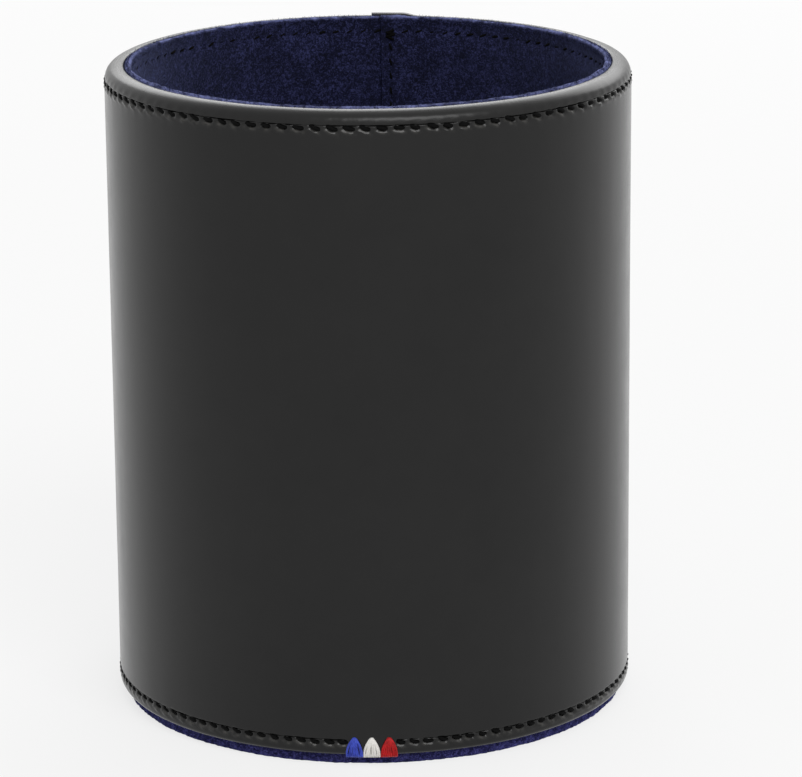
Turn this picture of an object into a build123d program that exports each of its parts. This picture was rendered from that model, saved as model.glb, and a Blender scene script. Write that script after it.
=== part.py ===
from build123d import *
import math
import os

# Desk pen pot: a rolled board tube covered in turned and edge-stitched leather, lined with suede,
# closed by a board floor and standing on a felt pad. The leather and the lining are each one strip
# whose ends lap at the back, where a seam runs down the wall. Three coloured thread tacks bind the
# foot of the leather at the front.
# Origin: middle of the pad's underside. +Z is up and the front faces -Y. Lengths are millimetres.

# Overall sizes
outside_diameter = 82.0
height = 101.7

# Layers of the wall, from outside to inside
leather_thickness = 0.9
board_thickness = 1.6
turn_in_thickness = 0.5
lining_thickness = 0.8
glue_film = 0.05

# Leather turned over the board's edges and pared to nothing inside
turn_in_depth = 10.0
turn_in_taper = 4.0
rim_roll_width = 2.4
rim_roll_drop = 1.7
rim_roll_shares = (0.0, 0.33, 0.67, 1.0)
foot_round = 0.8
turn_in_round = 0.4
round_shares = (0.0, 0.5, 1.0)

# Lining
lining_rise = 0.05
lining_foot_gap = 0.3
lining_edge_round = 0.35
edge_round_share = 0.48

# Floor and pad
base_board_thickness = 3.2
floor_suede_thickness = 0.8
floor_clearance = 0.1
floor_edge_bevel = 0.3
pad_thickness = 1.7
pad_inset = 1.3
pad_edge_bevel = 0.35

# Back seam: distances along the wall are measured from the seam's row of stitches
seam_shift = 4.2
leather_lap_margin = 3.6
leather_lap_tuck = 1.8
leather_lap_climb = 2.8
leather_tongue_thickness = 0.4
leather_lap_gap = 0.15
lining_lap_margin = 1.8
lining_lap_tuck = 1.6
lining_lap_climb = 1.8
lining_tongue_thickness = 0.3
lining_lap_gap = 0.1
board_joint_shift = 12.0
board_joint_gap = 0.4

# Rows of stitches
top_stitch_margin = 2.4
foot_stitch_margin = 2.13
top_stitch_pitch = 2.5
foot_stitch_pitch = 2.2
back_stitch_pitch = 2.5
stitch_length_share = 0.72
stitch_slant = 12.0
thread_width = 0.46
thread_height = 0.45
stitch_slope_share = 0.22
groove_width = 1.2
groove_depth = 0.5
groove_overrun = 0.2
tie_off_width = 1.2
tie_off_length_share = 0.8

# Coloured tacks at the foot of the front
tack_pitch = 2.65
tack_shift = -0.5
tack_foot_width = 2.6
tack_waist_width = 1.95
tack_tip_width = 0.75
tack_waist_share = 0.5
tack_rise = 0.87
tack_strand_height = 0.42
tack_valley_height = 0.26
tack_clearance = 0.15
tack_strand_count = 7
tack_crest_shares = (0.28, 0.72)
tack_names = ("blue_tack", "white_tack", "red_tack")

# Radii and levels that follow from the sizes above
outside_radius = outside_diameter / 2
leather_inside_radius = outside_radius - leather_thickness
board_outside_radius = leather_inside_radius - glue_film
board_inside_radius = board_outside_radius - board_thickness
turn_in_back_radius = board_inside_radius - glue_film
turn_in_face_radius = turn_in_back_radius - turn_in_thickness
lining_bore_radius = turn_in_face_radius - glue_film - lining_thickness
leather_lift = leather_tongue_thickness + glue_film
lining_lift = lining_tongue_thickness + glue_film
floor_radius = lining_bore_radius - lining_lift - thread_height - floor_clearance
pad_radius = outside_radius - pad_inset

leather_foot = pad_thickness
board_foot = leather_foot + leather_thickness + glue_film
board_top = height - leather_thickness - glue_film
lining_foot = leather_foot + lining_foot_gap
lining_top = height + lining_rise
base_board_top = pad_thickness + base_board_thickness
top_stitch_level = height - top_stitch_margin
foot_stitch_level = leather_foot + foot_stitch_margin

back_azimuth = 90.0
front_azimuth = 270.0
seam_azimuth = back_azimuth - math.degrees(seam_shift / outside_radius)
full_turn = 360.0
half_turn = 180.0
quarter_turn = 90.0
wall_length = math.pi * outside_diameter
tack_middle = math.radians(front_azimuth - seam_azimuth) * outside_radius + tack_shift


def azimuth_at(distance):
    """Azimuth of a point that lies this far along the outside wall from the back seam, to its left."""
    return seam_azimuth + math.degrees(distance / outside_radius)


def outline(points):
    """Closed face through points given as (radius, level)."""
    return make_face(Polyline(*points, close=True))


def quarter_round(centre_radius, centre_level, size, start):
    """Points that ease a section's corner over a quarter turn, in a few flats."""
    angles = [math.radians(start + quarter_turn * share) for share in round_shares]
    return [(centre_radius + size * math.cos(a), centre_level + size * math.sin(a)) for a in angles]


def rim_roll(face, rim):
    """Points of the rolled rim, from the outside wall up to its level top."""
    angles = [math.radians(quarter_turn * share) for share in rim_roll_shares]
    return [
        (face - rim_roll_width * (1 - math.cos(a)), rim - rim_roll_drop * (1 - math.sin(a))) for a in angles
    ]


def turned(section, start, end):
    """Section, drawn as (radius, level), swept round the pot's axis from one azimuth to another."""
    return Rot(0, 0, start) * revolve(Plane.XZ * section, Axis.Z, end - start)


def lapped_wrap(plain, raised, tongue, margin, tuck, climb, gap):
    """A strip wrapped round the pot, whose end climbs over its own pared start at the back seam."""
    edge = azimuth_at(margin)
    tongue_end = azimuth_at(-tuck)
    lap_start = azimuth_at(-tuck - gap)
    climb_start = azimuth_at(-tuck - gap - climb)
    lap_end = azimuth_at(margin - gap)
    strip = turned(plain, edge, climb_start + full_turn)
    strip += turned(tongue, tongue_end, edge)
    low, high = Plane.XZ * plain, Plane.XZ * raised
    strip += loft([Rot(0, 0, climb_start) * low.face(), Rot(0, 0, lap_start) * high.face()], ruled=True)
    strip += turned(raised, lap_start, lap_end)
    return strip


def lap_level(distance, lift, margin, tuck, climb, gap):
    """How far a lapped strip stands proud at a distance along the wall from the back seam."""
    if distance > margin:
        return 0.0
    share = (distance + tuck + gap + climb) / climb
    return lift * min(1.0, max(0.0, share))


def groove_points(face, level):
    """The pressed groove for a row of stitches, from below to above."""
    side = groove_width / 2
    return [(face, level - side), (face - groove_depth, level), (face, level + side)]


def leather_section(lift):
    """The leather cut square to the wall: outside face, both turned edges and both turn-ins."""
    face = outside_radius + lift
    back = leather_inside_radius + lift
    rim = height + lift
    top_end = height - turn_in_depth
    foot_end = leather_foot + turn_in_depth
    inner_centre = turn_in_face_radius + turn_in_round
    points = [(turn_in_face_radius, foot_end - turn_in_taper)]
    points += quarter_round(inner_centre, leather_foot + turn_in_round, turn_in_round, half_turn)
    points += quarter_round(face - foot_round, leather_foot + foot_round, foot_round, -quarter_turn)
    points += groove_points(face, foot_stitch_level)
    points += groove_points(face, top_stitch_level)
    points += rim_roll(face, rim)
    points += quarter_round(inner_centre, rim - turn_in_round, turn_in_round, quarter_turn)
    points += [
        (turn_in_face_radius, top_end + turn_in_taper),
        (turn_in_back_radius, top_end),
        (turn_in_back_radius, board_top + glue_film),
        (back, board_top + glue_film),
        (back, board_foot - glue_film),
        (turn_in_back_radius, board_foot - glue_film),
        (turn_in_back_radius, foot_end),
    ]
    return outline(points)


def back_groove(face):
    """Wedge that cuts the upright groove for the back seam's stitches into a face at this radius."""
    side = groove_width / 2 * (groove_depth + groove_overrun) / groove_depth
    tip = (face - groove_depth, 0)
    wedge = outline([tip, (face + groove_overrun, side), (face + groove_overrun, -side)])
    bar = extrude(wedge, top_stitch_level - foot_stitch_level)
    return Rot(0, 0, seam_azimuth) * Pos(0, 0, foot_stitch_level) * bar


def make_outer_leather():
    tongue = outline(
        [
            (leather_inside_radius, board_foot),
            (leather_inside_radius + leather_tongue_thickness, board_foot),
            (leather_inside_radius + leather_tongue_thickness, board_top),
            (leather_inside_radius, board_top),
        ]
    )
    lap = (leather_lap_margin, leather_lap_tuck, leather_lap_climb, leather_lap_gap)
    wrap = lapped_wrap(leather_section(0), leather_section(leather_lift), tongue, *lap)
    return wrap - back_groove(outside_radius + leather_lift)


def make_core_board():
    section = outline(
        [
            (board_inside_radius, board_foot),
            (board_outside_radius, board_foot),
            (board_outside_radius, board_top),
            (board_inside_radius, board_top),
        ]
    )
    start = azimuth_at(board_joint_shift + board_joint_gap / 2)
    end = azimuth_at(board_joint_shift - board_joint_gap / 2) + full_turn
    return turned(section, start, end)


def lining_back_points():
    """Where the lining's glued side lies: on both turn-ins, down their tapers and on the board."""
    on_turn_in = turn_in_face_radius - glue_film
    on_board = turn_in_back_radius - glue_film
    top_end = height - turn_in_depth
    foot_end = leather_foot + turn_in_depth
    return [
        (on_turn_in, lining_foot),
        (on_turn_in, foot_end - turn_in_taper),
        (on_board, foot_end),
        (on_board, top_end),
        (on_turn_in, top_end + turn_in_taper),
        (on_turn_in, lining_top),
    ]


def lining_section(back, front):
    """The lining between two depths below its glued side, with its upper edge eased."""
    back_points = [(radius - back, level) for radius, level in lining_back_points()]
    front_points = [(radius - front, level) for radius, level in lining_back_points()]
    ease = min(lining_edge_round, (front - back) * edge_round_share)
    (back_radius, top), (front_radius, _) = back_points.pop(), front_points.pop()
    upper_edge = quarter_round(back_radius - ease, top - ease, ease, 0)
    upper_edge += quarter_round(front_radius + ease, top - ease, ease, quarter_turn)
    return outline(back_points + upper_edge + front_points[::-1])


def make_suede_lining():
    plain = lining_section(0, lining_thickness)
    raised = lining_section(lining_lift, lining_lift + lining_thickness)
    tongue = lining_section(0, lining_tongue_thickness)
    lap = (lining_lap_margin, lining_lap_tuck, lining_lap_climb, lining_lap_gap)
    return lapped_wrap(plain, raised, tongue, *lap)


def make_base_pad():
    pad = extrude(Circle(pad_radius), pad_thickness)
    return chamfer(pad.edges().sort_by(Axis.Z)[0], pad_edge_bevel)


def make_base_board():
    return Pos(0, 0, pad_thickness) * extrude(Circle(floor_radius), base_board_thickness)


def make_floor_suede():
    suede = Pos(0, 0, base_board_top) * extrude(Circle(floor_radius), floor_suede_thickness)
    return chamfer(suede.edges().sort_by(Axis.Z)[-1], floor_edge_bevel)


def stitch(length, width):
    """One visible stitch, seated at the origin: rises along +X to a ridge that runs along Y."""
    slope = length * stitch_slope_share
    across = outline([(0, -width / 2), (thread_height, 0), (0, width / 2)])
    along = outline(
        [
            (0, -length / 2),
            (thread_height, slope - length / 2),
            (thread_height, length / 2 - slope),
            (0, length / 2),
        ]
    )
    return extrude(Plane.XZ * across, length / 2, both=True) & extrude(along, width / 2, both=True)


def stitch_reach(pitch):
    """Half the length of a visible stitch, and its half extents along and across a row."""
    half = pitch * stitch_length_share / 2
    slant = math.radians(stitch_slant)
    along = half * math.cos(slant) + thread_width / 2 * math.sin(slant)
    across = half * math.sin(slant) + thread_width / 2 * math.cos(slant)
    return half, along, across


def seat_depth(pitch):
    """Depth below the face at which a slanted stitch rests on the sides of its groove."""
    across = stitch_reach(pitch)[2]
    return groove_depth * (1 - across / (groove_width / 2))


def nearer_way(distance):
    """The same place on the wall, counted from the back seam by the nearer way round."""
    return (distance + wall_length / 2) % wall_length - wall_length / 2


def row_distances(pitch):
    """Distances along the wall from the back seam to each stitch of a full row, laid out from the tacks."""
    count = round(wall_length / pitch)
    return [nearer_way(tack_middle + wall_length * index / count) for index in range(count)]


def row_stitches(level, pitch, distances, outward):
    """A row of stitches round the wall, outside in the leather's groove or inside on the lining."""
    half, along, _ = stitch_reach(pitch)
    if outward:
        seat, lift, sign, turn = outside_radius - seat_depth(pitch), leather_lift, 1, 0
        lap = (leather_lap_margin, leather_lap_tuck, leather_lap_climb, leather_lap_gap)
    else:
        seat, lift, sign, turn = math.sqrt(lining_bore_radius**2 - along**2), lining_lift, -1, half_turn
        lap = (lining_lap_margin, lining_lap_tuck, lining_lap_climb, lining_lap_gap)
    one = Rot(-stitch_slant, 0, 0) * stitch(2 * half, thread_width)
    row = []
    for distance in distances:
        proud = max(lap_level(distance + step, lift, *lap) for step in (-along, 0, along))
        seated = Pos(seat + sign * proud, 0, level) * Rot(0, 0, turn) * one
        row.append(Rot(0, 0, azimuth_at(distance)) * seated)
    return Compound(row)


def back_levels():
    """Levels of the back seam's stitches, which fill the wall between the top and the foot row."""
    span = top_stitch_level - foot_stitch_level
    count = round(span / back_stitch_pitch)
    return [foot_stitch_level + span * index / count for index in range(1, count)]


def make_back_outer_stitches():
    half = stitch_reach(back_stitch_pitch)[0]
    one = Rot(quarter_turn - stitch_slant, 0, 0) * stitch(2 * half, thread_width)
    radius = outside_radius + leather_lift - seat_depth(back_stitch_pitch)
    row = [Pos(radius, 0, level) * one for level in back_levels()]
    return Rot(0, 0, seam_azimuth) * Compound(row)


def lining_bore_at(level):
    """Radius of the lining's bore at a level of the wall."""
    points = lining_back_points()
    for (low_radius, low), (high_radius, high) in zip(points, points[1:]):
        if low <= level <= high:
            return low_radius + (high_radius - low_radius) * (level - low) / (high - low) - lining_thickness
    return lining_bore_radius


def make_back_inner_stitches():
    """The seam's row inside, closed below the top row by a tie-off of the thread's end."""
    half, along, across = stitch_reach(back_stitch_pitch)
    levels = back_levels()
    one = Rot(quarter_turn - stitch_slant, 0, 0) * stitch(2 * half, thread_width)
    row_edge = top_stitch_level - stitch_reach(top_stitch_pitch)[2]
    room = row_edge - levels[-1] - along
    tie_off = Rot(quarter_turn, 0, 0) * stitch(room * tie_off_length_share, tie_off_width)
    seats = [(level, along, across, one) for level in levels]
    seats.append((row_edge - room / 2, room / 2, tie_off_width / 2, tie_off))
    row = []
    for level, reach, side, shape in seats:
        bore = min(lining_bore_at(level + step) for step in (-reach, 0, reach)) - lining_lift
        row.append(Pos(math.sqrt(bore**2 - side**2), 0, level) * Rot(0, 0, half_turn) * shape)
    return Rot(0, 0, seam_azimuth) * Compound(row)


def strand_section(width):
    """A row of thread strands lying side by side, cut across: flat below, one crest for each."""
    step = width / tack_strand_count
    points = [(0, width / 2), (0, -width / 2), (tack_valley_height, -width / 2)]
    for index in range(tack_strand_count):
        side = index * step - width / 2
        points += [(tack_strand_height, side + step * share) for share in tack_crest_shares]
        points.append((tack_valley_height, side + step))
    return outline(points)


def make_tack(index):
    """A fan of strands from one needle hole down to the leather's foot, bound in under the edge."""
    tip_level = foot_stitch_level + tack_rise
    waist_level = leather_foot + (tip_level - leather_foot) * tack_waist_share
    levels = (leather_foot, waist_level, tip_level)
    widths = (tack_foot_width, tack_waist_width, tack_tip_width)
    sections = [Pos(outside_radius, 0, z) * strand_section(w) for z, w in zip(levels, widths)]
    fan = loft([section.face() for section in sections], ruled=True)
    wrap_depth = pad_inset - tack_clearance
    under = Rot(0, quarter_turn, 0) * strand_section(tack_foot_width)
    wrap = Pos(outside_radius - wrap_depth, 0, leather_foot) * extrude(
        under, wrap_depth + tack_valley_height, dir=(1, 0, 0)
    )
    place = tack_middle + (index - (len(tack_names) - 1) / 2) * tack_pitch
    return Rot(0, 0, azimuth_at(place)) * (fan + wrap)


def clear_of_tacks(distances):
    """Row distances without the stitches whose place the coloured tacks take."""
    room = len(tack_names) * tack_pitch / 2
    return [distance for distance in distances if abs(nearer_way(distance - tack_middle)) > room]


top_row = row_distances(top_stitch_pitch)
foot_row = row_distances(foot_stitch_pitch)
foot_row_outside = clear_of_tacks(foot_row)
pieces = {
    "outer_leather": make_outer_leather(),
    "core_board": make_core_board(),
    "suede_lining": make_suede_lining(),
    "base_board": make_base_board(),
    "floor_suede": make_floor_suede(),
    "base_pad": make_base_pad(),
    "top_seam_outer_stitches": row_stitches(top_stitch_level, top_stitch_pitch, top_row, True),
    "top_seam_inner_stitches": row_stitches(top_stitch_level, top_stitch_pitch, top_row, False),
    "foot_seam_outer_stitches": row_stitches(foot_stitch_level, foot_stitch_pitch, foot_row_outside, True),
    "foot_seam_inner_stitches": row_stitches(foot_stitch_level, foot_stitch_pitch, foot_row, False),
    "back_seam_outer_stitches": make_back_outer_stitches(),
    "back_seam_inner_stitches": make_back_inner_stitches(),
}
pieces.update({name: make_tack(index) for index, name in enumerate(tack_names)})

os.makedirs("parts", exist_ok=True)
for name, shape in pieces.items():
    export_step(shape, f"parts/{name}.step")
    print(name, len(shape.solids()), "solids", round(shape.volume, 2), "mm3")
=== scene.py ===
import math
import random
from collections import namedtuple

import bmesh
import bpy
from mathutils import Matrix, Vector, noise


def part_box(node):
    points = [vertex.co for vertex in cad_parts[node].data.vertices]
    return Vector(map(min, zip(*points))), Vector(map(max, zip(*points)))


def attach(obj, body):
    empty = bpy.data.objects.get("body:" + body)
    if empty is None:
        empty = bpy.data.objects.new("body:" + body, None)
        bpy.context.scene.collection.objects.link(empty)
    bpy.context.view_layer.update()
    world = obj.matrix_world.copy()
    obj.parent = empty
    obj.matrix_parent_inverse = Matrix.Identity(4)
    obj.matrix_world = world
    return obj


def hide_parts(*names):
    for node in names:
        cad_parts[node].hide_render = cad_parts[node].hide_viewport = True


# Look of a desk pen pot: black calf over a board tube, navy suede inside, a felt pad below,
# black thread along both edges and down the back, and three coloured thread tacks at the front.
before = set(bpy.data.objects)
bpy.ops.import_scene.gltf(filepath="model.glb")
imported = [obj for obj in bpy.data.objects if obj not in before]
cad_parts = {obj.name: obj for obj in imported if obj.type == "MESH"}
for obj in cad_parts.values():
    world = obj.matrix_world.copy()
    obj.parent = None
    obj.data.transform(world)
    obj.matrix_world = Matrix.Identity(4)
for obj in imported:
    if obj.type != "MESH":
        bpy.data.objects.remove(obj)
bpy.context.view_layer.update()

MM = 0.001
body = "root"


def node_reach(node):
    """Largest distance of a CAD node's points from the pot's axis."""
    return max(math.hypot(v.co.x, v.co.y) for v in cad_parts[node].data.vertices)


def node_middle(node):
    """Middle of a CAD node's points."""
    points = [v.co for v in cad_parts[node].data.vertices]
    return sum(points, Vector()) / len(points)


# Thicknesses of the layers
leather_thickness = 0.9 * MM
turn_in_thickness = 0.5 * MM
lining_thickness = 0.8 * MM
glue_film = 0.05 * MM
turn_in_depth = 10.0 * MM
turn_in_taper = 4.0 * MM
board_thickness = 1.6 * MM

# Radii, levels and the back seam, read from the frame
board_radius = node_reach("core_board")
outside_radius = board_radius + glue_film + leather_thickness
turn_in_back = board_radius - board_thickness - glue_film
turn_in_face = turn_in_back - turn_in_thickness
lining_bore = turn_in_face - glue_film - lining_thickness
leather_lift = node_reach("outer_leather") - outside_radius
pad_radius = node_reach("base_pad")
floor_radius = node_reach("floor_suede")
leather_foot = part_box("outer_leather")[0].z
rim_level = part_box("outer_leather")[1].z - leather_lift
lining_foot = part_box("suede_lining")[0].z
lining_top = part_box("suede_lining")[1].z
pad_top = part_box("base_pad")[1].z
floor_low, floor_high = (corner.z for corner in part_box("floor_suede"))
top_row_level = sum(corner.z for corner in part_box("top_seam_outer_stitches")) / 2
foot_row_level = sum(corner.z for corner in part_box("foot_seam_outer_stitches")) / 2
seam_middle = node_middle("back_seam_outer_stitches")
seam_azimuth = math.atan2(seam_middle.y, seam_middle.x)
around = 2 * math.pi * outside_radius

# Laps at the back seam: distances run round the wall from the seam, to the right seen from outside
leather_margin = 3.6 * MM
leather_tuck = 1.8 * MM
leather_climb = 2.8 * MM
leather_gap = 0.15 * MM
leather_pared = 0.5 * MM
lining_margin = 1.8 * MM
lining_tuck = 1.6 * MM
lining_climb = 1.8 * MM
lining_gap = 0.1 * MM
lining_lift = 0.35 * MM
lining_pared = 0.5 * MM
pared_ramp = 0.2 * MM

# Rounded edges
rim_roll_width = 2.4 * MM
rim_roll_drop = 1.7 * MM
rim_roll_flats = 12
foot_round = 0.8 * MM
foot_round_flats = 7
turn_in_round = 0.4 * MM
turn_in_round_flats = 5
lining_edge_round = 0.36 * MM
lining_edge_flats = 4
edge_wrap = 4.0 * MM
disc_bevel = 0.3 * MM
disc_bevel_flats = 3

# Rows of stitches
top_pitch = 2.5 * MM
foot_pitch = 2.2 * MM
back_pitch = 2.5 * MM
stitch_lean = math.radians(15)
stitch_share = 0.7
thread_radius = 0.23 * MM
inside_thread_radius = 0.85 * thread_radius
thread_sides = 6
thread_twist = 0.6
ply_groove = 0.16
row_band = 1.25 * MM

# How far a stitch strays from its place, its line, its lean and its length
pitch_play = 0.045
line_play = 0.06 * MM
lean_play = math.radians(9)
length_play = (0.82, 1.1)

# Rings of the leather's mesh beside a row of stitches, in millimetres from its line
row_rings = (
    *(-1.25, -1.05, -0.88, -0.73, -0.6, -0.48, -0.37, -0.27, -0.17, -0.08),
    *(0.0, 0.09, 0.18, 0.25, 0.31, 0.36, 0.41, 0.48, 0.58),
)
ring_ease = 1.0 * MM
ring_above_foot = 0.75 * MM

# Leather at its stitches: pressed in under a thread, creased over a row, and puffed below it, where a paler
# colour paints a highlight on the puffed lip
press_depth = 0.32 * MM
press_over, press_under = 0.27 * MM, 0.45 * MM
needle_hole = 0.16 * MM
lip_drop, lip_width = 0.74 * MM, 0.25 * MM
lip_rise, lip_crumple = 0.12 * MM, 0.12 * MM
# Painted highlight below a row: its drop below the thread, its width and its reach
glint_drop, glint_width, glint_reach = 0.55 * MM, 0.25 * MM, 1.5 * MM
row_reach, seam_reach = 2.2 * MM, 1.5 * MM
row_dip, back_dip, dip_width = 0.05 * MM, 0.06 * MM, 0.45 * MM
crease_offset, crease_width = 0.36 * MM, 0.075 * MM
crease_depth, crease_play, crease_least = 0.17 * MM, 0.22 * MM, 0.03 * MM

# Leather over the top row: puckered between the stitches and set in a little
pucker_level, pucker_width = 0.95 * MM, 0.5 * MM
pucker_rise, pucker_draw = 0.02 * MM, 0.05 * MM
set_in, set_in_over = 0.16 * MM, 1.1 * MM

# Suede at its stitches and at its cut upper edge
suede_hole = 0.15 * MM
suede_reach = 2.0 * MM
top_pull, top_pull_width = 0.11 * MM, 0.35 * MM
back_pull, back_pull_width = 0.14 * MM, 0.4 * MM
suede_dip, suede_dip_width = 0.04 * MM, 0.6 * MM
fluff_rise, fluff_drop, fluff_width = 0.24 * MM, 0.35 * MM, 0.6 * MM
edge_ease = 0.1 * MM

# Uneven surfaces: the height of each wave and its frequency per metre
leather_waves = ((0.035 * MM, 90.0), (0.015 * MM, 320.0))
nap_waves = ((0.06 * MM, 160.0),)
fluff_waves = ((0.16 * MM, 420.0), (0.12 * MM, 1600.0))
cut_waves = ((0.17 * MM, 130.0), (0.08 * MM, 600.0), (0.06 * MM, 2300.0))
floor_edge_waves = ((0.05 * MM, 230.0), (0.04 * MM, 1700.0))
pad_edge_waves = ((0.16 * MM, 230.0), (0.22 * MM, 1700.0))
crumple_frequency = 1300.0
# Patches of the painted highlight below the stitches
glint_frequency = 1900.0


def smooth_step(share):
    share = min(1.0, max(0.0, share))
    return share * share * (3 - 2 * share)


def bell(offset, width):
    return math.exp(-((offset / width) ** 2))


def uneven(place, waves):
    """Height at a place of a surface that smooth noise makes uneven."""
    return sum(height * noise.noise(place * frequency) for height, frequency in waves)


def facing(lean):
    """Share of a surface's rise that a side which faces that way takes."""
    return smooth_step(lean * 1.6)


def rolled(distance, depth, level):
    """Place on the round wall of a point of the flat strip: depth is outwards from the leather's face."""
    azimuth = seam_azimuth + distance / outside_radius
    radius = outside_radius + depth
    return Vector((radius * math.cos(azimuth), radius * math.sin(azimuth), level))


def distance_of(node):
    """Distance of a node's middle round the wall from the back seam."""
    middle = node_middle(node)
    turn = math.atan2(middle.y, middle.x) - seam_azimuth
    return (turn % (2 * math.pi)) * outside_radius


# Stitches: each has its place on the flat strip, the angle of its thread and half its length
Stitch = namedtuple("Stitch", "distance level angle half kept")
tack_nodes = ("blue_tack", "white_tack", "red_tack")
tack_distances = [distance_of(node) for node in tack_nodes]
tack_middle = tack_distances[1]
tack_pitch = (tack_distances[2] - tack_distances[0]) / 2
tack_zone = (tack_middle - 1.5 * tack_pitch, tack_middle + 1.5 * tack_pitch)


class StitchRow:
    """A row of stitches round the wall or up it, each a little off its place as a real one is."""

    def __init__(self, start, step, count, cross, upright, seed, skipped=None):
        play = random.Random(seed)
        self.start, self.step, self.count, self.upright = start, step, count, upright
        self.stitches = []
        for index in range(count):
            along = start + step * index
            kept = skipped is None or not skipped[0] < along % around < skipped[1]
            along += step * play.uniform(-pitch_play, pitch_play)
            across = cross + play.uniform(-line_play, line_play)
            lean = stitch_lean + play.uniform(-lean_play, lean_play)
            half = step * stitch_share / 2 * play.uniform(*length_play)
            if upright:
                self.stitches.append(Stitch(across, along, math.pi / 2 - lean, half, kept))
            else:
                self.stitches.append(Stitch(along, across, -lean, half, kept))

    def nearest(self, distance, level):
        """Offsets along and across the thread of the stitch nearest to a point, and that stitch."""
        if self.upright:
            index = min(self.count - 1, max(0, round((level - self.start) / self.step)))
            stitch = self.stitches[index]
            right = (distance - stitch.distance + around / 2) % around - around / 2
        else:
            place = round((distance - self.start) / self.step)
            stitch = self.stitches[place % self.count]
            right = distance - stitch.distance - (place - place % self.count) * self.step
        up = level - stitch.level
        along = right * math.cos(stitch.angle) + up * math.sin(stitch.angle)
        across = up * math.cos(stitch.angle) - right * math.sin(stitch.angle)
        return along, across, stitch


def round_row(pitch, level, seed, skipped=None):
    count = round(around / pitch)
    return StitchRow(tack_middle, around / count, count, level, False, seed, skipped)


def back_row(seed):
    span = top_row_level - foot_row_level
    count = round(span / back_pitch)
    return StitchRow(foot_row_level + span / count, span / count, count - 1, 0.0, True, seed)


top_outer_row = round_row(top_pitch, top_row_level, 11)
top_inner_row = round_row(top_pitch, top_row_level, 12)
foot_outer_row = round_row(foot_pitch, foot_row_level, 13, tack_zone)
foot_inner_row = round_row(foot_pitch, foot_row_level, 14)
back_outer_row = back_row(15)
back_inner_row = back_row(16)


# Mesh helpers
weld_distance = 0.001 * MM


def arc(centre_depth, centre_level, width, height, start, flats):
    """Points of a quarter ellipse of a section, turning left from a start angle in degrees."""
    angles = [math.radians(start + 90 * step / flats) for step in range(flats + 1)]
    return [(centre_depth + width * math.cos(a), centre_level + height * math.sin(a)) for a in angles]


def divided(points, cuts):
    """Straight runs between points of a section, each cut into a number of equal parts."""
    line = [points[0]]
    for (depth, level), (next_depth, next_level), parts in zip(points, points[1:], cuts):
        for step in range(1, parts + 1):
            share = step / parts
            line.append((depth + (next_depth - depth) * share, level + (next_level - level) * share))
    return line


def section_normals(section):
    """Outward direction at each point of a closed section that turns left."""
    normals = []
    for before, after in zip(section[-1:] + section[:-1], section[1:] + section[:1]):
        along = Vector((after[0] - before[0], after[1] - before[1])).normalized()
        normals.append(Vector((along.y, -along.x)))
    return normals


def strip_of(section, start, end, steps, shape, wear=None):
    """A strip cut flat, swept from its section, pressed into shape and rolled round the board."""
    strip = bmesh.new()
    place = strip.verts.layers.int.new("place")
    glint_layer = strip.verts.layers.float.new("wear")
    ring = [strip.verts.new((start, depth, level)) for depth, level in section]
    for index, vert in enumerate(ring):
        vert[place] = index
    edges = [strip.edges.new(pair) for pair in zip(ring, ring[1:] + ring[:1])]
    grown = bmesh.ops.extrude_edge_only(strip, edges=edges)["geom"]
    far_ring = [item for item in grown if isinstance(item, bmesh.types.BMVert)]
    bmesh.ops.translate(strip, verts=far_ring, vec=(end - start, 0, 0))
    lengthwise = [edge for edge in strip.edges if edge.calc_length() > (end - start) / 2]
    lengthwise = [edge for edge in lengthwise if edge.verts[0].co.x != edge.verts[1].co.x]
    bmesh.ops.subdivide_edges(strip, edges=lengthwise, cuts=steps - 1, use_grid_fill=True)
    bmesh.ops.holes_fill(strip, edges=[e for e in strip.edges if e.is_boundary], sides=0)
    normals = section_normals(section)
    for vert in strip.verts:
        distance, depth, level = vert.co
        normal = normals[vert[place]]
        rise = shape(distance, level, normal)
        # The optional function gives each outward-facing point its share of painted highlight
        if wear:
            vert[glint_layer] = wear(distance, level) * max(0.0, normal.x)
        vert.co = rolled(distance, depth + rise * normal.x, level + rise * normal.y)
    bmesh.ops.recalc_face_normals(strip, faces=strip.faces)
    return strip


def lathed(profile, steps):
    """A round piece turned from a profile of (radius, level) points that ends on the axis twice."""
    piece = bmesh.new()
    line = [piece.verts.new((radius, 0, level)) for radius, level in profile]
    edges = [piece.edges.new(pair) for pair in zip(line, line[1:])]
    bmesh.ops.spin(
        piece,
        geom=line + edges,
        cent=(0, 0, 0),
        axis=(0, 0, 1),
        angle=2 * math.pi,
        steps=steps,
        use_merge=True,
    )
    bmesh.ops.remove_doubles(piece, verts=piece.verts, dist=weld_distance)
    bmesh.ops.recalc_face_normals(piece, faces=piece.faces)
    return piece


def thread_along(mesh, path, outward, radius, sides, twist):
    """A closed two-ply thread along a path of points, added to a mesh. Outward is its upper side."""
    thread = bmesh.new()
    ring = bmesh.ops.create_circle(thread, cap_ends=True, segments=sides, radius=radius)["verts"]
    corners = [math.tau * index / sides for index in range(sides)]
    face = ring[0].link_faces[0]
    for step, point in enumerate(path):
        ahead = path[min(step + 1, len(path) - 1)] - path[max(step - 1, 0)]
        ahead.normalize()
        side = ahead.cross(outward).normalized()
        upper = side.cross(ahead)
        if step:
            grown = bmesh.ops.extrude_face_region(thread, geom=[face])["geom"]
            if step > 1:
                bmesh.ops.delete(thread, geom=[face], context="FACES_ONLY")
            face = next(item for item in grown if isinstance(item, bmesh.types.BMFace))
            ring = list(face.verts)
        for vert, corner in zip(ring, corners):
            reach = radius * (1 - ply_groove * math.cos(2 * (corner + twist * step)))
            vert.co = point + (side * math.cos(corner) + upper * math.sin(corner)) * reach
    bmesh.ops.recalc_face_normals(thread, faces=thread.faces)
    spool = bpy.data.meshes.new("thread")
    thread.to_mesh(spool)
    thread.free()
    mesh.from_mesh(spool)
    bpy.data.meshes.remove(spool)


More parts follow.
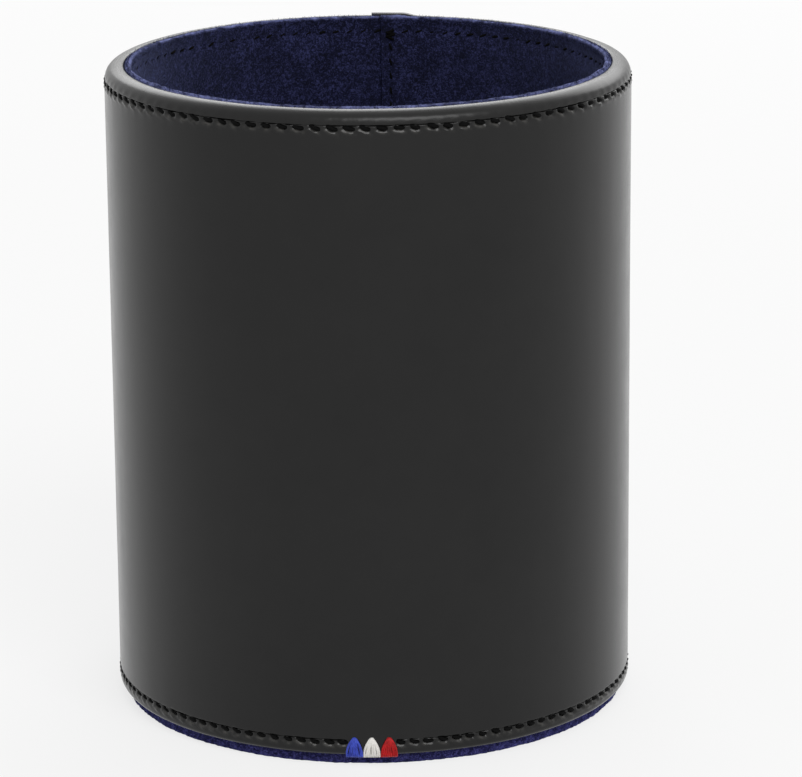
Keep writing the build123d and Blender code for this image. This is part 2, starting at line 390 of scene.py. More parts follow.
def finished(mesh, name, nodes, finish, sharp=50):
    """Puts a mesh into the scene as a piece that rides on the pot and stands for its CAD nodes."""
    limit = math.radians(sharp)
    for face in mesh.faces:
        face.smooth = True
    for edge in mesh.edges:
        edge.smooth = not (edge.is_manifold and edge.calc_face_angle() > limit)
    data = bpy.data.meshes.new(name)
    mesh.to_mesh(data)
    mesh.free()
    data.materials.append(finish)
    piece = bpy.data.objects.new(name, data)
    bpy.context.scene.collection.objects.link(piece)
    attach(piece, body)
    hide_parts(*nodes)
    return piece


# Shader helpers


class Value:
    """A socket of a node tree; arithmetic on it adds Math nodes."""

    def __init__(self, tree, socket):
        self.tree, self.socket = tree, socket

    def _math(self, operation, first, second):
        return self.tree.node("ShaderNodeMath", {"operation": operation}, {0: first, 1: second})

    def __add__(self, other):
        return self._math("ADD", self, other)

    def __radd__(self, other):
        return self._math("ADD", other, self)

    def __sub__(self, other):
        return self._math("SUBTRACT", self, other)

    def __rsub__(self, other):
        return self._math("SUBTRACT", other, self)

    def __mul__(self, other):
        return self._math("MULTIPLY", self, other)

    def __rmul__(self, other):
        return self._math("MULTIPLY", other, self)


class NodeTree:
    """The node tree of a material or a world, which ends in one shader."""

    def __init__(self, owner, shader, output):
        owner.use_nodes = True
        self.tree = owner.node_tree
        self.tree.nodes.clear()
        self.shader = self.tree.nodes.new(shader)
        end = self.tree.nodes.new(output)
        self.tree.links.new(self.shader.outputs[0], end.inputs["Surface"])

    def node(self, kind, settings=None, sockets=None, output=0):
        """Adds a node, sets it up, fills its sockets and gives one of its outputs, or a list of them."""
        node = self.tree.nodes.new(kind)
        for key, setting in (settings or {}).items():
            if key == "stops":
                ramp = node.color_ramp
                while len(ramp.elements) < len(setting):
                    ramp.elements.new(1.0)
                for element, (position, colour) in zip(ramp.elements, setting):
                    element.position, element.color = position, (*colour, 1.0)
            else:
                setattr(node, key, setting)
        self.fill(node, sockets or {})
        if isinstance(output, tuple):
            return [Value(self, node.outputs[name]) for name in output]
        return Value(self, node.outputs[output])

    def fill(self, node, sockets):
        for key, value in sockets.items():
            if isinstance(value, Value):
                self.tree.links.new(value.socket, node.inputs[key])
            else:
                node.inputs[key].default_value = value

    def shade(self, **sockets):
        self.fill(self.shader, {key.replace("_", " "): value for key, value in sockets.items()})

    def place(self):
        return self.node("ShaderNodeTexCoord", output="Object")

    def axes(self, vector):
        return self.node("ShaderNodeSeparateXYZ", None, {"Vector": vector}, ("X", "Y", "Z"))

    def seen(self):
        """1 for what the camera sees straight, mirrored or through glass, and 0 for other rays."""
        rays = ("Is Camera Ray", "Is Glossy Ray", "Is Transmission Ray")
        camera, mirrored, through = self.node("ShaderNodeLightPath", output=rays)
        return self.span(camera + mirrored + through, 0.0, 1.0)

    def noise(self, where, scale, detail=3.0, rough=0.55, distortion=0.0):
        sockets = {"Vector": where, "Scale": scale, "Detail": detail, "Roughness": rough}
        sockets["Distortion"] = distortion
        return self.node("ShaderNodeTexNoise", None, sockets, "Fac")

    def cells(self, where, scale, feature="F1"):
        sockets = {"Vector": where, "Scale": scale}
        return self.node("ShaderNodeTexVoronoi", {"feature": feature}, sockets, "Distance")

    def ramp(self, value, *stops):
        return self.node("ShaderNodeValToRGB", {"stops": stops}, {"Fac": value}, "Color")

    def span(self, value, low, high, to_low=0.0, to_high=1.0):
        sockets = {"Value": value, "From Min": low, "From Max": high}
        sockets |= {"To Min": to_low, "To Max": to_high}
        return self.node("ShaderNodeMapRange", {"clamp": True}, sockets, "Result")

    def blend(self, share, first, second):
        return self.node("ShaderNodeMix", {"data_type": "RGBA"}, {0: share, 6: first, 7: second}, 2)

    def bump(self, height, distance, strength=1.0):
        sockets = {"Height": height, "Distance": distance, "Strength": strength}
        return self.node("ShaderNodeBump", None, sockets, "Normal")


class Finish(NodeTree):
    """A procedural material built round one Principled shader."""

    def __init__(self, name):
        self.material = bpy.data.materials.new(name)
        super().__init__(self.material, "ShaderNodeBsdfPrincipled", "ShaderNodeOutputMaterial")


def grey(level):
    return (level, level, level)


def black_calf():
    """Smooth aniline-black calf: fine pebbled grain, pores, a polish that comes and goes, and a painted
    highlight: paler colour on the puffed lips below the stitches.
    """
    calf = Finish("black_calf")
    place = calf.place()
    # The third grey is a painted highlight, laid on the puffed lips below the stitches
    dark, light, painted_glint = grey(0.0025), (0.0055, 0.0054, 0.0053), (0.055, 0.053, 0.049)
    drift = calf.noise(place, 45.0, 3.0)
    polish = calf.noise(place, 260.0, 4.0)
    pebble = calf.span(calf.cells(place, 2100.0, "DISTANCE_TO_EDGE"), 0.0, 0.28)
    pores = calf.span(calf.cells(place, 1250.0), 0.0, 0.22)
    fine = calf.noise(place, 5200.0, 2.0)
    x, y, z = calf.axes(place)
    # Gathers run up the rolled rim: noise on the unrolled wall, drawn out upwards
    turn = calf.node("ShaderNodeMath", {"operation": "ARCTAN2"}, {0: x, 1: y})
    drawn_out = {"X": turn * outside_radius, "Y": z * 0.12}
    gathers = calf.noise(calf.node("ShaderNodeCombineXYZ", None, drawn_out), 1900.0, 3.0, 0.6)
    roll_start, roll_full = top_row_level + 0.4 * MM, top_row_level + 1.0 * MM
    at_rim = calf.span(z, roll_start, rim_level - 0.6 * MM) * calf.span(drift, 0.4, 0.62)
    height = 0.55 * pebble + 0.25 * pores + 0.35 * fine + 0.9 * polish + 6.0 * gathers * at_rim
    # The outer side of the roll is a little duller than the wall
    inner_reach, outer_reach = outside_radius - rim_roll_width, outside_radius - 1.6 * MM
    on_roll = calf.span(x * x + y * y, inner_reach**2, outer_reach**2) * calf.span(z, roll_start, roll_full)
    colour = calf.ramp(drift * 0.6 + polish * 0.4, (0.3, dark), (0.7, light))
    # Painted highlight: the lips below the stitches turn paler in colour, standing in for their glints
    wear = calf.node("ShaderNodeAttribute", {"attribute_name": "wear"}, None, "Fac")
    colour = calf.blend(wear, colour, (*painted_glint, 1.0))
    rough = 0.14 + 0.12 * polish + 0.04 * fine + 0.08 * on_roll
    calf.shade(Base_Color=colour, Roughness=rough, IOR=1.37)
    calf.shade(Normal=calf.bump(height, 0.015 * MM, 0.4))
    return calf.material


def navy_suede():
    """Brushed navy suede: short matted nap with lighter tips and darker strokes."""
    suede = Finish("navy_suede")
    place = suede.place()
    strokes = suede.noise(place, 170.0, 4.0, 0.6, 0.8)
    tufts = suede.noise(place, 1700.0, 4.0, 0.62, 1.4)
    fibre = suede.noise(place, 3000.0, 3.0, 0.6, 1.6)
    nap = 0.14 * strokes + 0.42 * tufts + 0.44 * fibre
    deep, navy = (0.0025, 0.003, 0.0105), (0.007, 0.008, 0.031)
    tips, frayed_and_lit_tips = (0.044, 0.05, 0.15), (0.22, 0.25, 0.54)
    colour = suede.ramp(nap, (0.41, deep), (0.5, navy), (0.59, tips))
    # The cut upper edge is paler in frayed patches: partly raw fibres, partly painted light, since only
    # faces that look up get it, as if lit from above
    level = suede.axes(place)[2]
    edge_start, edge_full, edge_play = lining_top - 0.85 * MM, lining_top - 0.15 * MM, 1.1 * MM
    cut_edge = suede.span(level + edge_play * (tufts - 0.5), edge_start, edge_full)
    facing_up = suede.axes(suede.node("ShaderNodeNewGeometry", output="True Normal"))[2]
    frayed = suede.span(suede.noise(place, 300.0, 4.0, 0.65, 0.8), 0.4, 0.6, 0.08, 1.0)
    # Painted light: the paler edge is kept to faces that look up
    cut_edge = cut_edge * suede.span(facing_up, 0.1, 0.6) * frayed
    colour = suede.blend(cut_edge * (0.3 + 0.9 * tufts), colour, (*frayed_and_lit_tips, 1.0))
    suede.shade(Base_Color=colour, Roughness=0.95, Specular_IOR_Level=0.15)
    suede.shade(Sheen_Weight=0.3, Sheen_Roughness=0.45, Sheen_Tint=(0.36, 0.42, 0.8, 1.0))
    suede.shade(Normal=suede.bump(0.6 * tufts + 0.4 * fibre, 0.3 * MM, 0.9))
    return suede.material


def navy_felt():
    """Pressed navy felt: matted fibres with a slightly paler bloom."""
    felt = Finish("navy_felt")
    place = felt.place()
    clumps = felt.noise(place, 900.0, 4.0, 0.6, 0.6)
    fibre = felt.noise(place, 2600.0, 3.0, 0.65, 1.5)
    deep, navy, bloom = (0.006, 0.006, 0.028), (0.021, 0.02, 0.09), (0.07, 0.07, 0.24)
    colour = felt.ramp(0.3 * clumps + 0.7 * fibre, (0.41, deep), (0.5, navy), (0.59, bloom))
    felt.shade(Base_Color=colour, Roughness=0.97, Specular_IOR_Level=0.1)
    felt.shade(Sheen_Weight=0.35, Sheen_Roughness=0.5, Sheen_Tint=(0.25, 0.3, 0.8, 1.0))
    felt.shade(Normal=felt.bump(0.5 * clumps + 0.5 * fibre, 0.15 * MM, 0.8))
    return felt.material


def waxed_thread(name, dark, light, sheen, rough, gloss=0.3):
    """Plied thread: fine fibres along it, a little uneven in colour."""
    thread = Finish(name)
    place = thread.place()
    fibre = thread.noise(place, 9000.0, 2.0, 0.6)
    uneven = thread.noise(place, 900.0, 3.0)
    colour = thread.ramp(0.5 * fibre + 0.5 * uneven, (0.35, dark), (0.65, light))
    thread.shade(Base_Color=colour, Roughness=rough + 0.2 * fibre, Specular_IOR_Level=gloss)
    thread.shade(Sheen_Weight=sheen, Sheen_Roughness=0.4)
    thread.shade(Normal=thread.bump(0.7 * fibre + 0.3 * uneven, 0.05 * MM, 0.7))
    return thread.material


def grey_board():
    """Dense grey board with specks of pulp."""
    board = Finish("grey_board")
    place = board.place()
    pulp = board.noise(place, 800.0, 4.0, 0.65)
    specks = board.span(board.noise(place, 3000.0, 2.0), 0.62, 0.7)
    dark, light, speck = grey(0.22), grey(0.36), (0.1, 0.09, 0.08)
    colour = board.blend(specks, board.ramp(pulp, (0.3, dark), (0.7, light)), (*speck, 1.0))
    board.shade(Base_Color=colour, Roughness=0.9, Normal=board.bump(pulp, 0.1 * MM, 0.5))
    return board.material


calf_finish = black_calf()
suede_finish = navy_suede()
felt_finish = navy_felt()
board_finish = grey_board()
black_thread = waxed_thread("black_thread", grey(0.0004), (0.0022, 0.0022, 0.0023), 0.0, 0.74, 0.1)
tack_finishes = {
    "blue_tack": waxed_thread("blue_thread", (0.012, 0.022, 0.26), (0.07, 0.115, 0.68), 0.15, 0.4),
    "white_tack": waxed_thread("white_thread", (0.76, 0.74, 0.69), (0.93, 0.92, 0.89), 0.15, 0.45),
    "red_tack": waxed_thread("red_thread", (0.2, 0.001, 0.002), (0.68, 0.01, 0.013), 0.05, 0.4),
}

# Loose fibres: shares of a fibre's width and length, and how far it leans
fibre_tip_share = 0.12
fibre_sunk_share = 0.1
fibre_length_shares = (0.4, 1.0)
fibre_stray = 0.55


def add_fibres(mesh, roots, seed, length, width):
    """Loose fibres on a brushed or cut edge: thin spikes that lean every way from their roots."""
    play = random.Random(seed)
    spike = bmesh.new()
    bmesh.ops.create_cone(spike, cap_ends=True, segments=3, radius1=0.5, radius2=fibre_tip_share, depth=1.0)
    bmesh.ops.translate(spike, verts=spike.verts, vec=(0, 0, 0.5 - fibre_sunk_share))
    template = bpy.data.meshes.new("fibre")
    spike.to_mesh(template)
    spike.free()
    for point, outward in roots:
        lean = Vector([play.gauss(0, fibre_stray) for _ in range(3)])
        turn = (outward + lean).to_track_quat("Z", "X").to_matrix().to_4x4()
        reach = length * play.uniform(*fibre_length_shares)
        size = Matrix.Diagonal((width, width, reach, 1.0))
        one = template.copy()
        one.transform(Matrix.Translation(point) @ turn @ size)
        mesh.from_mesh(one)
        bpy.data.meshes.remove(one)
    bpy.data.meshes.remove(template)


# The leather: outside face, rolled rim, turned foot and both turn-ins


def leather_section():
    face = 0.0
    back = -leather_thickness
    inner = turn_in_face - outside_radius
    inner_back = turn_in_back - outside_radius
    inner_round = inner + turn_in_round
    foot_end = leather_foot + turn_in_depth
    top_end = rim_level - turn_in_depth
    under = leather_foot + leather_thickness
    over = rim_level - leather_thickness
    foot_turn = leather_foot + turn_in_round
    points = divided([(inner, foot_end - turn_in_taper), (inner, foot_turn)], [2])[:-1]
    points += arc(inner_round, foot_turn, turn_in_round, turn_in_round, 180, 3)
    points += divided([(inner_round, leather_foot), (face - foot_round, leather_foot)], [2])[1:-1]
    foot_centre = (face - foot_round, leather_foot + foot_round)
    points += arc(*foot_centre, foot_round, foot_round, -90, foot_round_flats)
    wall = [(face, foot_row_level + offset) for offset in (ring_above_foot, ring_ease, row_band)]
    wall.append((face, top_row_level - row_band - ring_ease))
    points += [(face, foot_row_level + offset * MM) for offset in row_rings]
    points += divided(wall, [1, 1, 12])
    points += [(face, top_row_level + offset * MM) for offset in row_rings]
    roll_centre = (face - rim_roll_width, rim_level - rim_roll_drop)
    points += arc(*roll_centre, rim_roll_width, rim_roll_drop, 0, rim_roll_flats)
    inner_centre = (inner_round, rim_level - turn_in_round)
    points += arc(*inner_centre, turn_in_round, turn_in_round, 90, turn_in_round_flats)
    points += [
        (inner, top_end + turn_in_taper),
        (inner_back, top_end),
        (inner_back, over),
        (back, over),
        (back, under),
        (inner_back, under),
        (inner_back, foot_end),
    ]
    return points


def stitch_press(row, distance, level):
    """How a stitch and its needle holes draw the leather in, and puff it up below the thread."""
    along, across, stitch = row.nearest(distance, level)
    if not stitch.kept:
        return 0.0
    reach = max(0.0, 1 - (along / (stitch.half + needle_hole)) ** 4)
    pressed = press_depth * reach * bell(across, press_over if across > 0 else press_under)
    crumple = noise.noise(Vector((distance, level, stitch.half)) * crumple_frequency)
    lip = bell(across + lip_drop, lip_width) * bell(along, stitch.half)
    return (lip_rise + lip_crumple * crumple) * lip - pressed


def stitch_glint(distance, level):
    """How much painted highlight the puffed leather below the stitches gets, from 0 to 1: paler colour
    standing in for the glints on its lips.
    """
    row = top_outer_row if level > (top_row_level + foot_row_level) / 2 else foot_outer_row
    along, across, stitch = row.nearest(distance, level)
    if not stitch.kept or abs(across) > glint_reach:
        return 0.0
    patchy = 0.5 + 1.3 * noise.noise(Vector((distance, level, stitch.half)) * glint_frequency)
    painted_glint = bell(across + glint_drop, glint_width) * bell(along, stitch.half)
    return min(1.0, max(0.0, patchy)) * painted_glint


def row_crease(row, cross, distance, level):
    """How a row as a whole draws the leather in, with a sharp crease over it, but not at the tacks."""
    if row is foot_outer_row and tack_zone[0] < distance % around < tack_zone[1]:
        return 0.0
    wander = noise.noise(Vector((distance * 700.0, cross * 900.0, 0.5)))
    crease = max(crease_least, crease_depth + crease_play * wander)
    crease *= bell(level - cross - crease_offset, crease_width)
    return -row_dip * bell(level - cross, dip_width) - crease


def leather_shape(distance, level, normal):
    """Rise of the leather's outside along its own normal."""
    outward = facing(max(normal.x, normal.y))
    if outward == 0.0:
        return 0.0
    climb = distance - (around - leather_tuck - leather_gap - leather_climb)
    lapped = smooth_step(climb / leather_climb)
    rise = leather_lift * lapped
    if distance < leather_margin:
        rise -= leather_pared * smooth_step((leather_margin - distance) / pared_ramp)
    for row, cross in ((top_outer_row, top_row_level), (foot_outer_row, foot_row_level)):
        if abs(level - cross) < row_reach:
            rise += row_crease(row, cross, distance, level) + stitch_press(row, distance, level)
    at_seam = abs(distance - around) < seam_reach and foot_row_level < level < top_row_level
    if lapped > 0.5 and at_seam:
        rise -= back_dip * bell(distance - around, dip_width)
        rise += stitch_press(back_outer_row, distance, level)
    above = level - top_row_level
    if above > 0:
        along = top_outer_row.nearest(distance, level)[0]
        drawn = 0.5 + 0.5 * math.cos(math.tau * along / top_outer_row.step)
        rise += (pucker_rise - pucker_draw * drawn) * bell(above - pucker_level, pucker_width)
        rise -= set_in * smooth_step(above / set_in_over) * max(0.0, normal.x)
    rise += uneven(rolled(distance, 0.0, level), leather_waves)
    return rise * outward


leather_start = -leather_tuck
leather_end = around + leather_margin - leather_gap
leather_steps = 1030
leather = finished(
    strip_of(leather_section(), leather_start, leather_end, leather_steps, leather_shape, stitch_glint),
    "turned_leather",
    ["outer_leather"],
    calf_finish,
)
leather_cut = (leather_end - leather_start, rim_level - leather_foot + 2 * turn_in_depth + edge_wrap)


# The lining: glued inside, its cut upper edge standing a little proud of the rim


def lining_section():
    on_turn_in = turn_in_face - glue_film - outside_radius
    on_board = turn_in_back - glue_film - outside_radius
    foot_end = leather_foot + turn_in_depth
    top_end = rim_level - turn_in_depth
    back = [
        (on_turn_in, lining_foot),
        (on_turn_in, foot_end - turn_in_taper),
        (on_board, foot_end),
        (on_board, top_end),
        (on_turn_in, top_end + turn_in_taper),
    ]
    points = list(back)
    ease = lining_edge_round
    points += arc(on_turn_in - ease, lining_top - ease, ease, ease, 0, lining_edge_flats)
    front = on_turn_in - lining_thickness
    points += arc(front + ease, lining_top - ease, ease, ease, 90, lining_edge_flats)
    inner = [(front, lining_top - ease)]
    inner += [(front, top_row_level + row_band), (front, top_row_level - row_band)]
    inner += [(depth - lining_thickness, level) for depth, level in back[::-1]]
    points += divided(inner, [2, 12, 3, 4, 16, 4, 2])[1:]
    return points


def suede_pull(row, distance, level, depth, width):
    """How far the nearest stitch draws the suede in."""
    along, across, stitch = row.nearest(distance, level)
    reach = max(0.0, 1 - (along / (stitch.half + suede_hole)) ** 6)
    return depth * reach * bell(across, width)


def lining_shape(distance, level, normal):
    """Rise of the lining's free side: its lap, the pull of its stitches and its uneven nap."""
    climb = distance - (around - lining_tuck - lining_gap - lining_climb)
    rise = lining_lift * smooth_step(climb / lining_climb)
    if distance < lining_margin:
        rise -= lining_pared * smooth_step((lining_margin - distance) / pared_ramp)
    if abs(level - top_row_level) < suede_reach:
        rise -= suede_pull(top_inner_row, distance, level, top_pull, top_pull_width)
        rise -= suede_dip * bell(level - top_row_level, suede_dip_width)
    if abs(distance - around) < seam_reach and foot_row_level < level < top_row_level:
        rise -= suede_pull(back_inner_row, distance, level, back_pull, back_pull_width)
    where = rolled(distance, 0.0, level)
    fluffed = fluff_rise + uneven(where, fluff_waves)
    rise += uneven(where, nap_waves)
    rise += fluffed * bell(level - lining_top + fluff_drop, fluff_width)
    upward = smooth_step((normal.y - 0.1) * 1.5) * smooth_step((level - rim_level) / edge_ease + 1)
    return rise * facing(max(-normal.x, 0.0)) + upward * uneven(where, cut_waves)


lining_start = -lining_tuck
lining_end = around + lining_margin - lining_gap
lining_steps = 1000
lining_fibres = 5000
lining_fibre_length, lining_fibre_width = 0.55 * MM, 0.075 * MM


def lining_edge_roots():
    """Places on the lining's cut upper edge where fibres stand out, and their direction."""
    play = random.Random(21)
    upward, outer_depth = Vector((0, 0, 1)), turn_in_face - glue_film - outside_radius
    roots = []
    for _ in range(lining_fibres):
        distance = play.uniform(lining_margin, around)
        across = play.uniform(0.04, 1.35)
        past_edge = across > 0.95
        drop = play.uniform(0.05, 0.9) * MM if past_edge else 0.04 * MM
        drop += lining_edge_round * max(0, abs(across - 0.5) - 0.1)
        root = rolled(distance, outer_depth - across * lining_thickness, lining_top - drop)
        inward = Vector((-root.x, -root.y, 0)).normalized()
        roots.append((root, inward + 0.7 * upward if past_edge else upward))
    return roots


lining_mesh = strip_of(lining_section(), lining_start, lining_end, lining_steps, lining_shape)
add_fibres(lining_mesh, lining_edge_roots(), 22, lining_fibre_length, lining_fibre_width)
lining = finished(
    lining_mesh,
    "lining_suede",
    ["suede_lining"],
    suede_finish,
)
lining_cut = ((lining_end - lining_start) * turn_in_face / outside_radius, lining_top - lining_foot)


# Floor suede and felt pad
floor_steps = 180
pad_steps = 720
pad_fibres = 3200
pad_fibre_length, pad_fibre_width, pad_fibre_root = 0.36 * MM, 0.06 * MM, 0.06 * MM
disc_sharp = 70


def ruffled(piece, radius, waves):
    """Frays the cut edge of a round piece."""
    for vert in piece.verts:
        reach = math.hypot(vert.co.x, vert.co.y)
        if reach > radius * 0.97:
            vert.co.xy *= (reach + uneven(vert.co, waves)) / reach


def floor_profile():
    rings = [floor_radius * share for share in (0.2, 0.4, 0.6, 0.8, 0.95)]
    upper = [(0.0, floor_high)] + [(radius, floor_high) for radius in rings]
    centre = (floor_radius - disc_bevel, floor_high - disc_bevel)
    edge = arc(*centre, disc_bevel, disc_bevel, 0, disc_bevel_flats)[::-1]
    edge[0] = (floor_radius - disc_bevel, floor_high)
    return upper + edge + [(floor_radius, floor_low), (0.0, floor_low)]


floor_piece = lathed(floor_profile(), floor_steps)
ruffled(floor_piece, floor_radius, floor_edge_waves)
floor_suede = finished(
    floor_piece, "floor_suede_disc", ["floor_suede"], suede_finish, disc_sharp
)


def pad_profile():
    lower = arc(pad_radius - disc_bevel, disc_bevel, disc_bevel, disc_bevel, -90, disc_bevel_flats)
    side = divided([(pad_radius, disc_bevel), (pad_radius, pad_top)], [5])[1:]
    return [(0.0, 0.0), (pad_radius * 0.6, 0.0)] + lower + side + [(0.0, pad_top)]


def pad_edge_roots():
    """Places on the pad's cut edge where fibres stand out."""
    play = random.Random(31)
    roots = []
    for _ in range(pad_fibres):
        azimuth = play.uniform(0, math.tau)
        outward = Vector((math.cos(azimuth), math.sin(azimuth), 0))
        level = play.uniform(0.12, 0.8) * pad_top
        root = outward * (pad_radius - pad_fibre_root) + Vector((0, 0, level))
        roots.append((root, outward * 1.3))
    return roots


pad_piece = lathed(pad_profile(), pad_steps)
ruffled(pad_piece, pad_radius, pad_edge_waves)
add_fibres(pad_piece, pad_edge_roots(), 32, pad_fibre_length, pad_fibre_width)
for vert in pad_piece.verts:
    vert.co.z = max(0.0, vert.co.z)
pad = finished(pad_piece, "felt_pad", ["base_pad"], felt_finish, disc_sharp)


# Stitches: a thread's way over the face, as shares of half a stitch and rises in millimetres
stitch_arch = (
    *((-1.1, -0.75), (-0.92, -0.36), (-0.5, -0.13), (0.0, -0.07)),
    *((0.5, -0.13), (0.92, -0.36), (1.1, -0.75)),
)
round_sunk, upright_sunk = 0.21 * MM, 0.04 * MM
thread_sharp = 80

# Tie-off: the level, half length and tilt of each turn in millimetres, and a turn's way over the face
tie_turns = ((-1.0, 0.62, 0.3), (-0.62, 0.85, -0.22), (-0.25, 0.78, 0.12), (0.02, 0.5, -0.3))
tie_arch = ((-1.0, -0.3), (-0.7, 0.06), (0.0, 0.2), (0.7, 0.06), (1.0, -0.3))


def past_seam(distance):
    """Distance from the back seam, less than half the way round to either side."""
    return (distance + around / 2) % around - around / 2


def leather_face(distance, level):
    """Depth of the leather's outside face under a stitch."""
    place = past_seam(distance)
    climb = place + leather_tuck + leather_gap + leather_climb
    lapped = smooth_step(climb / leather_climb) if place < leather_margin else 0.0
    return leather_lift * lapped


def lining_face(distance, level):
    """Depth of the lining's free face under a stitch."""
    place = past_seam(distance)
    climb = place + lining_tuck + lining_gap + lining_climb
    lapped = smooth_step(climb / lining_climb) if place < lining_margin else 0.0
    top_end = rim_level - turn_in_depth
    foot_end = leather_foot + turn_in_depth
    sunk = (turn_in_back - turn_in_face) * min(
        1.0,
        max(0.0, (level - foot_end + turn_in_taper) / turn_in_taper),
        max(0.0, (top_end + turn_in_taper - level) / turn_in_taper),
    )
    return lining_bore - outside_radius + sunk - lining_lift * lapped


def away_from_axis(point):
    return Vector((point.x, point.y, 0)).normalized()


def tie_off(mesh):
    """The thread's end, wound over itself just below the top row inside."""
    for level, half, tilt in tie_turns:
        path = []
        for share, height in tie_arch:
            distance = share * half * MM
            place = top_row_level + (level + share * tilt) * MM
            path.append(rolled(distance, lining_face(distance, place) - height * MM, place))
        outward = -away_from_axis(path[len(path) // 2])
        thread_along(mesh, path, outward, thread_radius, thread_sides, thread_twist)


def row_threads(row, inside, seed, name, node, tied=False):
    """The threads of a row, each arched over the face and dipping into its needle holes."""
    mesh = bmesh.new()
    play = random.Random(seed)
    face_at, side = (lining_face, -1) if inside else (leather_face, 1)
    radius = inside_thread_radius if inside else thread_radius
    for stitch in row.stitches:
        if not stitch.kept:
            continue
        path = []
        sunk = play.uniform(0.0, upright_sunk if row.upright else round_sunk) if inside else 0.0
        for share, height in stitch_arch:
            distance = stitch.distance + share * stitch.half * math.cos(stitch.angle)
            level = stitch.level + share * stitch.half * math.sin(stitch.angle)
            depth = face_at(distance, level) + side * (height * MM - sunk)
            path.append(rolled(distance, depth, level))
        outward = side * away_from_axis(path[len(path) // 2])
        thread_along(mesh, path, outward, radius, thread_sides, thread_twist)
    if tied:
        tie_off(mesh)
    return finished(mesh, name, [node], black_thread, thread_sharp)


row_threads(top_outer_row, False, 16, "top_edge_threads", "top_seam_outer_stitches")
row_threads(top_inner_row, True, 23, "top_edge_threads_inside", "top_seam_inner_stitches")
row_threads(foot_outer_row, False, 17, "foot_edge_threads", "foot_seam_outer_stitches")
row_threads(foot_inner_row, True, 24, "foot_edge_threads_inside", "foot_seam_inner_stitches")
row_threads(back_outer_row, False, 17, "back_seam_threads", "back_seam_outer_stitches")
row_threads(back_inner_row, True, 24, "back_seam_threads_inside", "back_seam_inner_stitches", True)


# Coloured tacks: strands that fan from one needle hole and bind in under the leather's foot
strand_count = 9
strand_radius = 0.172 * MM
strand_sides = 8
strand_twist = 0.55
tack_tip_width = 0.5 * MM
tack_foot_width = 2.3 * MM
tip_inset = 0.05 * MM
outer_drop = 0.16 * MM
strand_play = 0.1 * MM
strand_stack = 0.1 * MM
stack_taper = 0.6
strand_swing = 0.14 * MM
fan_bend = 1.85

# A strand's way: share of the way down and rise, then depth and drop under the foot, in millimetres
strand_stations = (
    *((0.0, -0.5), (0.03, -0.02), (0.12, 0.15), (0.3, 0.2)),
    *((0.5, 0.19), (0.72, 0.16), (0.9, 0.13)),
)
strand_under = ((0.12, 0.06), (-0.12, -0.12), (-0.6, -0.14), (-1.05, -0.1))
strand_middle = 4


def tack_threads(index, node):
    mesh = bmesh.new()
    middle = tack_distances[index]
    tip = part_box(node)[1].z - tip_inset
    play = random.Random(40 + index)
    half_count = (strand_count - 1) / 2
    for strand in sorted(range(strand_count), key=lambda strand: -abs(strand - half_count)):
        share = strand / (strand_count - 1) - 0.5
        outermost = abs(strand - half_count) / half_count
        start = tip - outer_drop * outermost**2 - play.uniform(0.0, strand_play)
        stacked = (1 - outermost) * strand_stack + play.uniform(0.0, strand_play)
        swing = play.uniform(-strand_swing, strand_swing)
        path = []
        for down, rise in strand_stations:
            spread = 1 - (1 - down) ** fan_bend
            width = tack_tip_width + (tack_foot_width - tack_tip_width) * spread
            distance = middle + share * width + swing * math.sin(math.pi * down)
            level = start - down * (start - leather_foot)
            path.append(rolled(distance, rise * MM + stacked * (1 - stack_taper * down), level))
        side = middle + share * tack_foot_width
        for depth, drop in strand_under:
            path.append(rolled(side, depth * MM, leather_foot + drop * MM))
        outward = away_from_axis(path[strand_middle])
        thread_along(mesh, path, outward, strand_radius, strand_sides, strand_twist)
    name = node + "_threads"
    return finished(mesh, name, [node], tack_finishes[node], thread_sharp)


for index, node in enumerate(tack_nodes):
    tack_threads(index, node)


# Hidden boards keep their CAD shape
for node in ("core_board", "base_board"):
    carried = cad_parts[node]
    carried.data.materials.clear()
    carried.data.materials.append(board_finish)


# Studio: pale floor, even white surroundings and two softboxes
floor_half = 4.0
floor_glow = 0.74
floor_lit, floor_seen = 0.86, 0.22
world_lit, world_seen = 0.48, 0.95
aim = Vector((0, 0, 0.08))


def studio_floor():
    """Pale paper: bright where seen or mirrored, without more light on the pot."""
    mesh = bmesh.new()
    bmesh.ops.create_grid(mesh, x_segments=8, y_segments=8, size=floor_half)
    data = bpy.data.meshes.new("studio_floor")
    mesh.to_mesh(data)
    mesh.free()
    floor = bpy.data.objects.new("studio_floor", data)
    bpy.context.scene.collection.objects.link(floor)
    paper = Finish("studio_paper")
    seen = paper.seen()
    pale = paper.blend(seen, (*grey(floor_lit), 1.0), (*grey(floor_seen), 1.0))
    glow = paper.ramp(seen, (0.0, grey(0.0)), (1.0, grey(floor_glow)))
    paper.shade(Base_Color=pale, Roughness=0.9, Specular_IOR_Level=0.0)
    paper.shade(Emission_Color=glow, Emission_Strength=1.0)
    data.materials.append(paper.material)


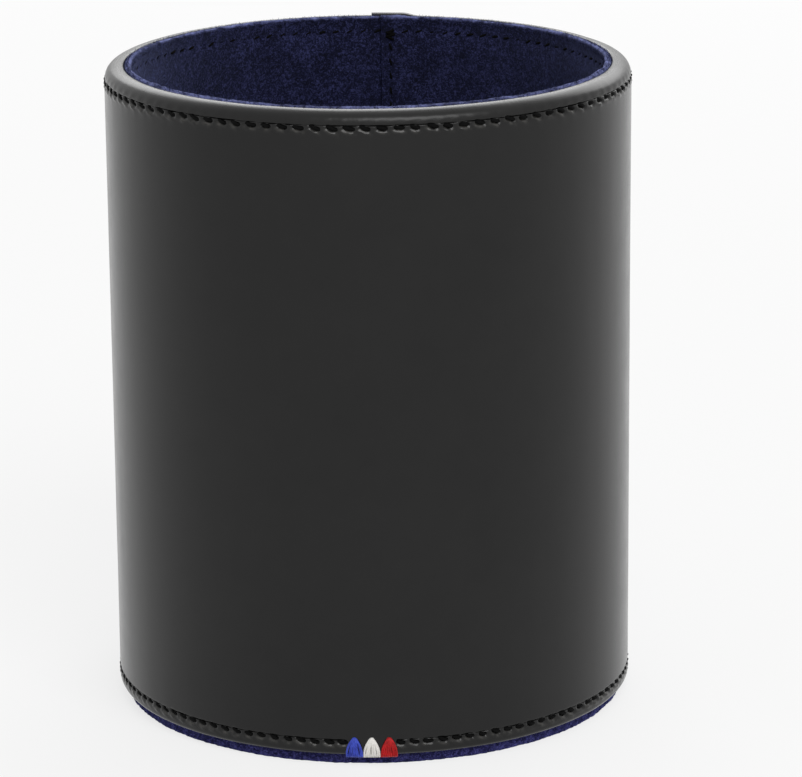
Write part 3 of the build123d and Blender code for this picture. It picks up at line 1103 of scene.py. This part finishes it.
def studio_world():
    """Even white surroundings: full white where seen or mirrored, softer as a light."""
    world = bpy.data.worlds.new("studio")
    bpy.context.scene.world = world
    sky = NodeTree(world, "ShaderNodeBackground", "ShaderNodeOutputWorld")
    strength = sky.span(sky.seen(), 0.0, 1.0, world_lit, world_seen)
    sky.shade(Color=(*grey(1.0), 1.0), Strength=strength)


def softbox(name, place, width, depth, radiance):
    """A plain rectangular softbox that faces the pot and isn't seen itself."""
    lamp = bpy.data.lights.new(name, "AREA")
    lamp.shape = "RECTANGLE"
    lamp.size, lamp.size_y = width, depth
    lamp.energy = radiance * math.pi * width * depth
    box = bpy.data.objects.new(name, lamp)
    box.location = place
    box.rotation_euler = (aim - Vector(place)).to_track_quat("-Z", "Y").to_euler()
    box.visible_camera = False
    bpy.context.scene.collection.objects.link(box)


studio_floor()
studio_world()
softbox("key_softbox", (0.35, -0.95, 1.0), 0.95, 0.65, 4.6)
softbox("back_softbox", (0.3, 1.2, 0.83), 2.0, 0.75, 2.4)


def photo_camera():
    """A camera at the photograph's viewing angle."""
    place = Vector((0, -636.485, 223.833)) * MM
    pitch, yaw, roll = math.radians(15.399), math.radians(0.425), math.radians(-0.502)
    focal_pixels, image_width, sensor_width = 4150.05, 802, 36.0
    level_ahead = Vector((math.sin(yaw), math.cos(yaw), 0))
    ahead = level_ahead * math.cos(pitch) - Vector((0, 0, math.sin(pitch)))
    right = Vector((math.cos(yaw), -math.sin(yaw), 0))
    upper = right.cross(ahead)
    side = right * math.cos(roll) + upper * math.sin(roll)
    top = upper * math.cos(roll) - right * math.sin(roll)
    lens = bpy.data.cameras.new("camera")
    lens.sensor_fit = "HORIZONTAL"
    lens.sensor_width = sensor_width
    lens.lens = focal_pixels * sensor_width / image_width
    lens.clip_start, lens.clip_end = 0.01, 50.0
    camera = bpy.data.objects.new("camera", lens)
    turn = Matrix((side, top, -ahead)).transposed().to_4x4()
    camera.matrix_world = Matrix.Translation(place) @ turn
    bpy.context.scene.collection.objects.link(camera)
    bpy.context.scene.camera = camera


photo_camera()
bpy.context.scene.view_settings.view_transform = "Standard"
